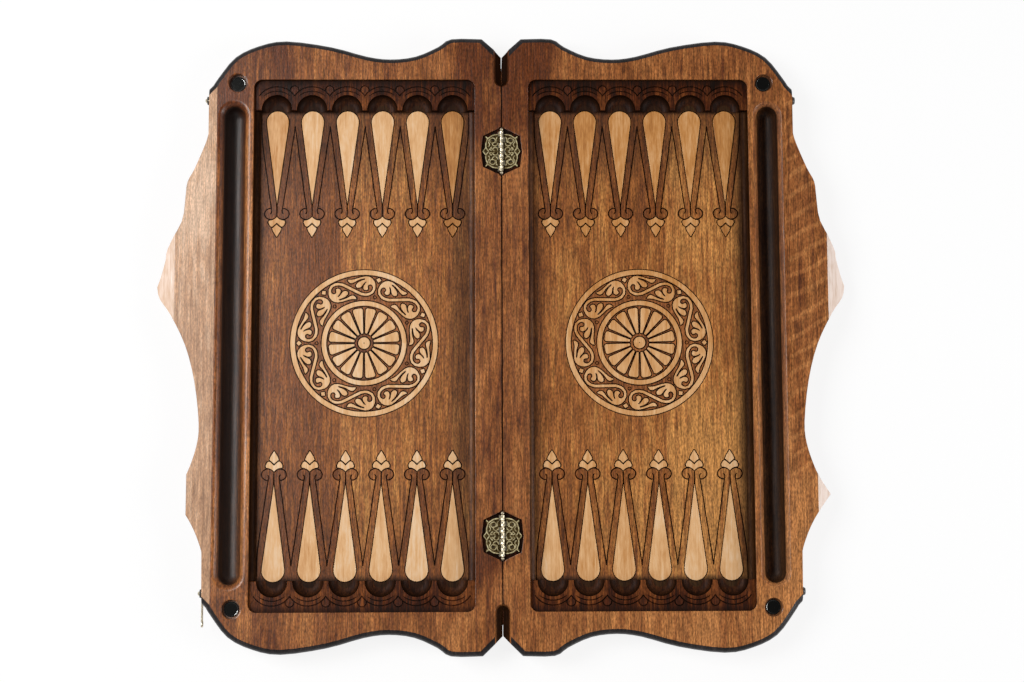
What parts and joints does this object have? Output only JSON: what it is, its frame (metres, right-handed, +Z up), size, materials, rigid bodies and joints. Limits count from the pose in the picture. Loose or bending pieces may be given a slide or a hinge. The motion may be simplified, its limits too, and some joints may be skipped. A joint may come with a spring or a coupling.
{
  "type": "folding backgammon board",
  "caption": "Folding backgammon case of carved, stained wood, laid open flat, with pale inlaid points and medallions, side trays, ornate brass hinges and side hooks.",
  "frame": {"origin": "on the table under the middle of the seam between the two halves, with the case lying open", "axes": "+X to the right half, +Y to the end with the first finger cove, along the seam and away from the viewer, +Z up"},
  "size_m": [0.691, 0.6192, 0.0383],
  "materials": {
    "carved_wood": "stained and satin varnished",
    "rail_wood": "stained and satin varnished",
    "floor_wood": "stained and satin varnished",
    "dark_wood": "burnt and gloss varnished",
    "pale_wood": "satin varnished",
    "antique_brass": "tarnished",
    "nickel_plate": "polished",
    "blackened_steel": "satin"
  },
  "bodies": {
    "left_half": {"left_edge_board": "carved_wood", "left_tray_rail": "carved_wood", "left_hinge_rail": "rail_wood", "left_far_rail": "carved_wood", "left_near_rail": "carved_wood", "left_inner_stave": "floor_wood", "left_middle_stave": "floor_wood", "left_outer_stave": "floor_wood", "left_far_comb": "dark_wood", "left_near_comb": "dark_wood", "left_far_points": "pale_wood", "left_near_points": "pale_wood", "left_far_fleurons": "pale_wood", "left_near_fleurons": "pale_wood", "left_medallion_rings": "pale_wood", "left_medallion_petals": "pale_wood", "left_medallion_scrolls": "pale_wood", "left_corner_magnets": "nickel_plate", "left_hinge_screws": "antique_brass", "far_hinge_left_leaf": "antique_brass", "near_hinge_left_leaf": "antique_brass", "far_hinge_pin": "antique_brass", "near_hinge_pin": "antique_brass", "latch_pivot_screws": "antique_brass", "latch_washers": "blackened_steel"},
    "right_half": {"right_edge_board": "carved_wood", "right_tray_rail": "carved_wood", "right_hinge_rail": "rail_wood", "right_far_rail": "carved_wood", "right_near_rail": "carved_wood", "right_inner_stave": "floor_wood", "right_middle_stave": "floor_wood", "right_outer_stave": "floor_wood", "right_far_comb": "dark_wood", "right_near_comb": "dark_wood", "right_far_points": "pale_wood", "right_near_points": "pale_wood", "right_far_fleurons": "pale_wood", "right_near_fleurons": "pale_wood", "right_medallion_rings": "pale_wood", "right_medallion_petals": "pale_wood", "right_medallion_scrolls": "pale_wood", "right_corner_magnets": "nickel_plate", "right_hinge_screws": "antique_brass", "far_hinge_right_leaf": "antique_brass", "near_hinge_right_leaf": "antique_brass", "latch_studs": "blackened_steel"},
    "far_latch": {"far_hook": "antique_brass"},
    "near_latch": {"near_hook": "antique_brass"}
  },
  "joints": [
    {"name": "fold", "type": "hinge", "parent": "left_half", "child": "right_half", "pos_m": [0, 0, 0.0362], "axis": [0, -1, 0], "range_deg": [0, 180]},
    {"name": "far_hook_swing", "type": "hinge", "parent": "left_half", "child": "far_latch", "pos_m": [-0.2952, 0.2475, 0.0216], "axis": [-1, 0, 0], "range_deg": [-34, 90]},
    {"name": "near_hook_swing", "type": "hinge", "parent": "left_half", "child": "near_latch", "pos_m": [-0.2952, -0.2475, 0.0216], "axis": [-1, 0, 0], "range_deg": [-34, 90]}
  ]
}
